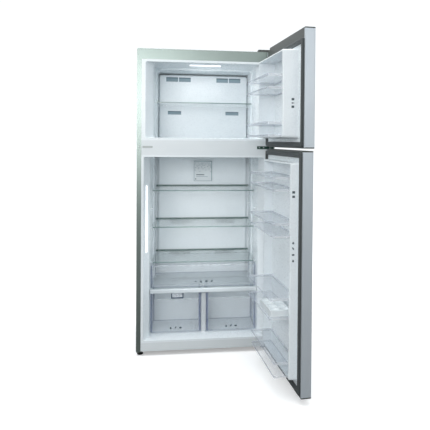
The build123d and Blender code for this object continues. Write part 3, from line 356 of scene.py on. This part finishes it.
crystal = clear_finish("clear_polystyrene_moulded", "#e3eaef", "#b3bccb", 0.08, 0.34,
                       Roughness=0.08, IOR=1.59)
# Painted shade: a darker violet grey for the drawers' corners and bottom edges, partly the tint of the
# longer way through the plastic.
crystal_corner_shade = clear_finish("clear_polystyrene_corner_shade", "#8791b0", "#67739a", 0.42, 0.75,
                              Roughness=0.1, IOR=1.59)
# Painted highlight: a paler, denser clear for the drawers' rims, the bins' corners and rims, and the slide's
# face.
crystal_highlight = clear_finish("clear_polystyrene_pale_highlight", "#e6ebf2", "#bdc6d4", 0.3, 0.55,
                           Roughness=0.15, IOR=1.59)
blue_edge = clear_finish("clear_polystyrene_cut_edge", "#16324d", "#122a42", 1.0, 1.0,
                         Roughness=0.15, IOR=1.59)
float_glass = clear_finish("toughened_float_glass", "#dbe9e8", "#9fb6b4", 0.07, 0.34,
                           Roughness=0.03, IOR=1.52)
finish(float_glass, "freezer_shelf", "lower_shelf", "middle_shelf", "upper_shelf", "crisper_cover")
edge_strip = surface("green_grey_glass_edge", "#7b8f8d", "#6c807e", 1.0, 0.02, Roughness=0.2)
finish(edge_strip, "shelf_trims")
frosted = clear_finish("clear_polystyrene_frosted", "#f2f6f9", "#d5dce3", 0.4, 0.6, Roughness=0.35,
                       IOR=1.59)
finish(frosted, "crisper_divider")
corner_steps = 6


def plan_ring(low, high, inset, radii, height, stops=()):
    """Rounded rectangle seen from above. radii are the front and back corners; stops are extra
    points along the front; height is a number or a function of x and y."""
    points = []
    for along, across, start in ((1, 0, -90), (1, 1, 0), (0, 1, 90), (0, 0, 180)):
        radius = max(radii[across] - inset, 0.0005)
        x = high.x - inset - radius if along else low.x + inset + radius
        y = high.y - inset - radius if across else low.y + inset + radius
        for step in range(corner_steps + 1):
            angle = math.radians(start + 90 * step / corner_steps)
            points.append((x + radius * math.cos(angle), y + radius * math.sin(angle)))
    points += [(x, low.y + inset) for x in stops]
    return [(x, y, height(x, y) if callable(height) else height) for x, y in points]


def skin_rings(shape, rings):
    """Joins closed rings one to the next and returns the strips of faces between them."""
    rows = [[shape.verts.new(point) for point in ring] for ring in rings]
    strips = []
    for lower, upper in zip(rows, rows[1:]):
        count = len(lower)
        strips.append([shape.faces.new((lower[i], lower[(i + 1) % count], upper[(i + 1) % count], upper[i]))
                       for i in range(count)])
    return rows, strips


def moulded_tray(shape, low, high, radii, wall, rim, stops=(), mouth=None, frosted_ends=False):
    """Open box with rounded corners and a thickened rim; mouth gives the height of its top edge."""
    top = mouth or (lambda x, y: high.z)
    bevel = 0.003
    rings = [plan_ring(low, high, bevel, radii, low.z, stops),
             plan_ring(low, high, 0, radii, low.z + bevel, stops),
             plan_ring(low, high, 0, radii, lambda x, y: top(x, y) - bevel / 3, stops),
             plan_ring(low, high, bevel / 3, radii, top, stops),
             plan_ring(low, high, rim, radii, top, stops),
             plan_ring(low, high, rim, radii, lambda x, y: top(x, y) - 1.5 * rim, stops),
             plan_ring(low, high, wall, radii, lambda x, y: top(x, y) - 2 * rim, stops),
             plan_ring(low, high, wall, radii, low.z + wall + bevel, stops),
             plan_ring(low, high, wall + bevel, radii, low.z + wall, stops)]
    rows, strips = skin_rings(shape, rings)
    shape.faces.new(rows[0][::-1])
    shape.faces.new(rows[-1])
    # Index 1 takes corners and bottom bevels, index 2 the rim; on the drawers these are painted corner shade
    # and a painted rim highlight.
    for face in strips[0] + strips[7]:
        face.material_index = 1
    for strip in (strips[1], strips[6]):
        for corner in range(4):
            start = corner * (corner_steps + 1)
            for face in strip[start:start + corner_steps]:
                face.material_index = 1
    for strip in strips[2:5]:
        for face in strip:
            face.material_index = 2
    if frosted_ends:
        for end in (corner_steps, 3 * corner_steps + 2):
            strips[6][end].material_index = 3


# ---- Drawers ----------------------------------------------------------------------------------------
# A wide shallow chiller drawer over two crispers. Each crisper's front is cut low for the hand, with
# a turned edge that carries a painted highlight, and all three carry small printed food signs.
drawer_wall = 0.0025
drawer_rim = 0.004
crisper_notch = 0.034
notch_margin = 0.014
notch_slope = 0.006
front_lip = 0.003
chiller_lip = 0.005
crisper_corner = 0.010
chiller_corner = 0.008


def crisper(side):
    node = "crisper_" + side
    low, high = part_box(node)
    low = Vector((low.x, low.y + front_lip, low.z))
    left = low.x + notch_margin
    right = high.x - notch_margin

    def mouth(x, y):
        if y > low.y + 2 * drawer_rim:
            return high.z
        depth = min(max((x - left) / notch_slope, 0), max((right - x) / notch_slope, 0), 1)
        return high.z - crisper_notch * depth

    stops = (left, left + notch_slope, (left + right) / 2, right - notch_slope, right)
    shape = bmesh.new()
    moulded_tray(shape, low, high, (crisper_corner, crisper_corner), drawer_wall, drawer_rim, stops, mouth)
    piece(side + "_crisper_tray", shape, (crystal, crystal_corner_shade, crystal_highlight), side + "_crisper",
          "clear_plastic", node)


crisper("left")
crisper("right")

low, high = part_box("chiller_drawer")
low = Vector((low.x, low.y + chiller_lip, low.z))
shape = bmesh.new()
moulded_tray(shape, low, high, (chiller_corner, chiller_corner), drawer_wall, drawer_rim)
piece("chiller_tray", shape, (crystal, crystal_corner_shade, crystal_highlight), "chiller", "clear_plastic",
      "chiller_drawer")


def slide_plate():
    """Clear slide with a deep blue cut edge on three sides."""
    low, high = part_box("humidity_slider")
    edge = 0.006
    shape = bmesh.new()
    spans = ((low.x, low.x + edge, low.z, high.z, 1), (high.x - edge, high.x, low.z, high.z, 1),
             (low.x + edge, high.x - edge, low.z, low.z + edge, 1),
             (low.x + edge, high.x - edge, low.z + edge, high.z, 0))
    for x0, x1, z0, z1, kind in spans:
        inset = 0 if kind else 0.001
        bar(shape, (x0, x1), (low.y + inset, high.y - inset), (z0, z1), kind)
    # The slide's face uses the pale painted-highlight clear of the drawer rims.
    piece("humidity_slide_plate", shape, (crystal_highlight, blue_edge), "slider", "clear_plastic",
          "humidity_slider")


slide_plate()

# ---- Door parts -------------------------------------------------------------------------------------
# Everything on a door is made as if the door were shut, where its edges run along the axes, and is
# then swung open with the door about its hinge.


class Door:
    """One door's body name and the turn from shut to the position it is built in."""

    def __init__(self, body):
        joint = next(row for row in frame["joints"] if row["name"] == body + "_hinge")
        hinge = Vector(joint["pos_m"])
        turn = Matrix.Rotation(math.radians(joint["range_deg"][1]), 4, "Z")
        self.body = body
        self.open = Matrix.Translation(hinge) @ turn @ Matrix.Translation(-hinge)

    def shut_boxes(self, node, gap=0.05):
        """Boxes of a node's solids with the door shut, split where there is a clear height between."""
        back = self.open.inverted()
        points = sorted((back @ v.co for v in frame["nodes"][node].data.vertices), key=lambda p: p.z)
        groups = [[points[0]]]
        for point in points[1:]:
            if point.z - groups[-1][-1].z > gap:
                groups.append([])
            groups[-1].append(point)
        return [(Vector(min(p[i] for p in group) for i in range(3)),
                 Vector(max(p[i] for p in group) for i in range(3))) for group in groups]

    def piece(self, name, shape, finishes, slot, *stands_for):
        bmesh.ops.transform(shape, matrix=self.open, verts=shape.verts)
        piece(name, shape, finishes, self.body, slot, *stands_for)


freezer_door = Door("freezer_door")
fridge_door = Door("fridge_door")
door_coat = surface("silver_coil_coated_steel", "#d0d8de", "#c8d0d7", 1.2, 0.03, Metallic=0.6,
                    Roughness=0.42)
finish(door_coat, "freezer_door_skin", "fridge_door_skin")
cap_plastic = surface("dark_grey_abs_moulded", "#474b49", "#414543", 0.8, 0.05, Roughness=0.45)
finish(cap_plastic, "freezer_door_end_caps", "fridge_door_end_caps", "top_hinge_cover")
finish(polystyrene, "freezer_door_liner", "fridge_door_liner")

# Each seal is an extruded vinyl bellows with small rounded corners: a dart that grips the liner, a
# soft fold, and a flat magnet pocket that meets the cabinet.
vinyl = surface("grey_vinyl_extruded", "#474c4d", "#3f4445", 0.8, 0.05, Roughness=0.55, IOR=1.52)
seal_profile = ((0.0, 0.0), (0.0, 0.10), (0.08, 0.34), (0.0, 0.52), (0.02, 0.90), (0.10, 1.0),
                (0.40, 1.0), (0.44, 0.86), (0.54, 0.86), (0.58, 1.0), (0.84, 1.0), (0.92, 0.90),
                (0.95, 0.62), (0.86, 0.46), (1.0, 0.30), (1.0, 0.0))
seal_width = 0.025


def seal(door):
    node = door.body + "_gasket"
    low, high = door.shut_boxes(node, gap=10.0)[0]
    shape = bmesh.new()
    rings = []
    for across, out in seal_profile + seal_profile[:1]:
        inset = across * seal_width
        radius = 0.004 + (1 - across) * 0.004
        y = low.y + out * (high.y - low.y)
        ring = []
        for x, z, start in ((high.x, low.z, -90), (high.x, high.z, 0), (low.x, high.z, 90),
                            (low.x, low.z, 180)):
            cx = x - math.copysign(inset + radius, x)
            cz = z + (inset + radius if z == low.z else -inset - radius)
            for step in range(5):
                angle = math.radians(start + 90 * step / 4)
                ring.append((cx + radius * math.cos(angle), y, cz + radius * math.sin(angle)))
        rings.append(ring)
    skin_rings(shape, rings)
    bmesh.ops.remove_doubles(shape, verts=shape.verts, dist=0.00001)
    door.piece(door.body + "_seal", shape, (vinyl,), "gasket", node)


seal(freezer_door)
seal(fridge_door)

# ---- Door bins --------------------------------------------------------------------------------------
# Clear open bins that hook between the rims of the door liner, with rounded outer corners.
bin_wall = 0.0025
bin_rim = 0.004
bin_corners = (0.002, 0.014)


def door_bins(door, node):
    shape = bmesh.new()
    for low, high in door.shut_boxes(node):
        moulded_tray(shape, low, high, bin_corners, bin_wall, bin_rim, frosted_ends=True)
    # The bins' corners and rims take the pale painted-highlight clear.
    door.piece(node + "_clear", shape, (crystal, crystal_highlight, crystal_highlight, frosted), "clear_plastic", node)


door_bins(freezer_door, "freezer_door_bins")
for node in ("fridge_door_bins", "egg_bin", "bottle_bin"):
    door_bins(fridge_door, node)

# ---- Printed signs ----------------------------------------------------------------------------------
# Small plain food signs, screen-printed in dark grey on the drawers and on the doors' inner rims.
# Each is made as a layer 0.3 mm thick.
sign_ink = surface("dark_grey_screen_ink", "#4c5a60", "#445157", 0.5, 0.01, Roughness=0.6)
sign_depth = 0.0003


def arc(cx, cy, radius, start, end, steps=10):
    turns = [math.radians(start + (end - start) * i / steps) for i in range(steps + 1)]
    return [(cx + radius * math.cos(turn), cy + radius * math.sin(turn)) for turn in turns]


leaf_sign = arc(0.5, -0.3, 0.9, 150, 100) + arc(-0.5, 0.5, 0.9, -30, -80)
drop_sign = arc(0, -0.12, 0.36, 160, 380, 14) + [(0.0, 0.5)]
apple_sign = arc(-0.18, 0, 0.32, 60, 290, 12) + arc(0.18, 0, 0.32, 250, 480, 12)
fish_tail = [(-0.5, 0.22), (-0.44, 0.0), (-0.5, -0.22)]
fish_sign = arc(0.08, -0.3, 0.5, 30, 145) + fish_tail + arc(0.08, 0.3, 0.5, 215, 330)
box_sign = [(-0.42, -0.36), (0.42, -0.36), (0.42, 0.36), (-0.42, 0.36)]


def print_signs(shape, outlines, centre, along, up, out, size):
    """Prints a row of signs: along and up span the face, out is its normal."""
    for outline, spot in outlines:
        base = centre + along * spot[0] + up * spot[1]
        for level in (0.0, sign_depth):
            ring = [shape.verts.new(base + along * (x * size) + up * (y * size) + out * level)
                    for x, y in outline]
            if level == 0.0:
                lower = ring
        shape.faces.new(lower)
        shape.faces.new(ring)
        for i in range(len(ring)):
            j = (i + 1) % len(ring)
            shape.faces.new((lower[i], lower[j], ring[j], ring[i]))


def drawer_signs(node, body, outlines, rise, size, pitch):
    low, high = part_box(node)
    front = chiller_lip if node == "chiller_drawer" else front_lip
    centre = Vector(((low.x + high.x) / 2, low.y + front, low.z + rise))
    count = len(outlines)
    row = [(outline, ((i - (count - 1) / 2) * pitch, 0)) for i, outline in enumerate(outlines)]
    shape = bmesh.new()
    print_signs(shape, row, centre, Vector((1, 0, 0)), Vector((0, 0, 1)), Vector((0, -1, 0)), size)
    piece(node + "_signs", shape, (sign_ink,), body, "clear_plastic")


drawer_signs("chiller_drawer", "chiller", (fish_sign, drop_sign, box_sign, leaf_sign), 0.034, 0.017, 0.034)
drawer_signs("crisper_left", "left_crisper", (drop_sign, leaf_sign, apple_sign), 0.027, 0.016, 0.03)
drawer_signs("crisper_right", "right_crisper", (drop_sign, leaf_sign, apple_sign), 0.027, 0.016, 0.03)
rim_foot = {"freezer_door": -0.306, "fridge_door": -0.332}
rim_slope = {"freezer_door": 0.004 / 0.082, "fridge_door": 0.004 / 0.040}
liner_face = -0.012


def rim_signs(door, outlines, out, height, size, pitch):
    """Upright row of signs on the free side of a door's inner rim, out from the liner's flat face."""
    slope = rim_slope[door.body]
    centre = Vector((rim_foot[door.body] + out * slope, liner_face + out, height))
    along = Vector((slope, 1, 0)).normalized()
    count = len(outlines)
    row = [(outline, (0, ((count - 1) / 2 - i) * pitch)) for i, outline in enumerate(outlines)]
    shape = bmesh.new()
    print_signs(shape, row, centre, along, Vector((0, 0, 1)), Vector((-1, slope, 0)).normalized(), size)
    door.piece("%s_rim_signs_%d" % (door.body, round(height * 1000)), shape, (sign_ink,), "white_liner")


rim_signs(freezer_door, (box_sign, fish_sign, box_sign), 0.030, 1.493, 0.016, 0.019)
rim_signs(fridge_door, (box_sign, box_sign), 0.024, 1.034, 0.016, 0.022)
rim_signs(fridge_door, (drop_sign, leaf_sign, apple_sign, drop_sign), 0.024, 0.746, 0.014, 0.03)

# ---- Lights -----------------------------------------------------------------------------------------
# White diodes behind frosted lenses: a bar under the freezer ceiling and a strip up the fridge's
# left lead-in. Two plain lamps carry their light, so that the lenses themselves stay calm.
lens = surface("frosted_lens_over_diodes", "#ffffff", "#f2f6ff", 1.0, 0.02, Roughness=0.4)
lens_shader = lens.node_tree.nodes["Principled BSDF"]
lens_shader.inputs["Emission Color"].default_value = linear("#f3f8ff")
lens_shader.inputs["Emission Strength"].default_value = 1.0
finish(lens, "cabinet_lights")
soft_lamp("freezer_diodes", (0.0, 0.08, 1.69), (0.12, 0.35, 1.4), 0.3, 0.5, 0.1)
soft_lamp("fridge_diodes", (0.0, -0.05, 0.72), (-0.05, 0.45, 0.6), 0.36, 1.0, 0.6)

# ---- Hinges, feet and machinery ---------------------------------------------------------------------
# Pressed steel hinges with a dark green passivated coat, nylon feet and rollers, and the black
# painted compressor and coil in the bay behind the slotted cover.
dark_zinc = surface("dark_green_passivated_steel", "#2f4f46", "#243f37", 2.0, 0.03, Metallic=0.8,
                    Roughness=0.4)
finish(dark_zinc, "top_hinge", "middle_hinge", "bottom_hinge")
bright_zinc = surface("zinc_plated_steel", "#b9bcbd", "#a4a8a9", 1.0, 0.02, Metallic=1.0,
                      Roughness=0.3)
finish(bright_zinc, "hinge_screws")
grey_cap = surface("pale_grey_polypropylene", "#c3c9c8", "#b8bebd", 1.0, 0.03, Roughness=0.5)
finish(grey_cap, "hole_plugs", "drain_pan", "fan_blade")
aluminium = surface("aluminium_fin_stock", "#c6c8ca", "#b4b7ba", 3.0, 0.05, Metallic=1.0,
                    Roughness=0.4)
finish(aluminium, "evaporator")
black_nylon = surface("black_nylon_moulded", "#1c1d1d", "#141515", 0.8, 0.05, Roughness=0.5)
finish(black_nylon, "fan_motor", "mains_inlet", "front_foot_left", "front_foot_right", "rear_roller_left",
       "rear_roller_right")
black_enamel = surface("black_stoved_paint", "#17181a", "#101113", 3.0, 0.05, Roughness=0.3)
finish(black_enamel, "compressor", "condenser")
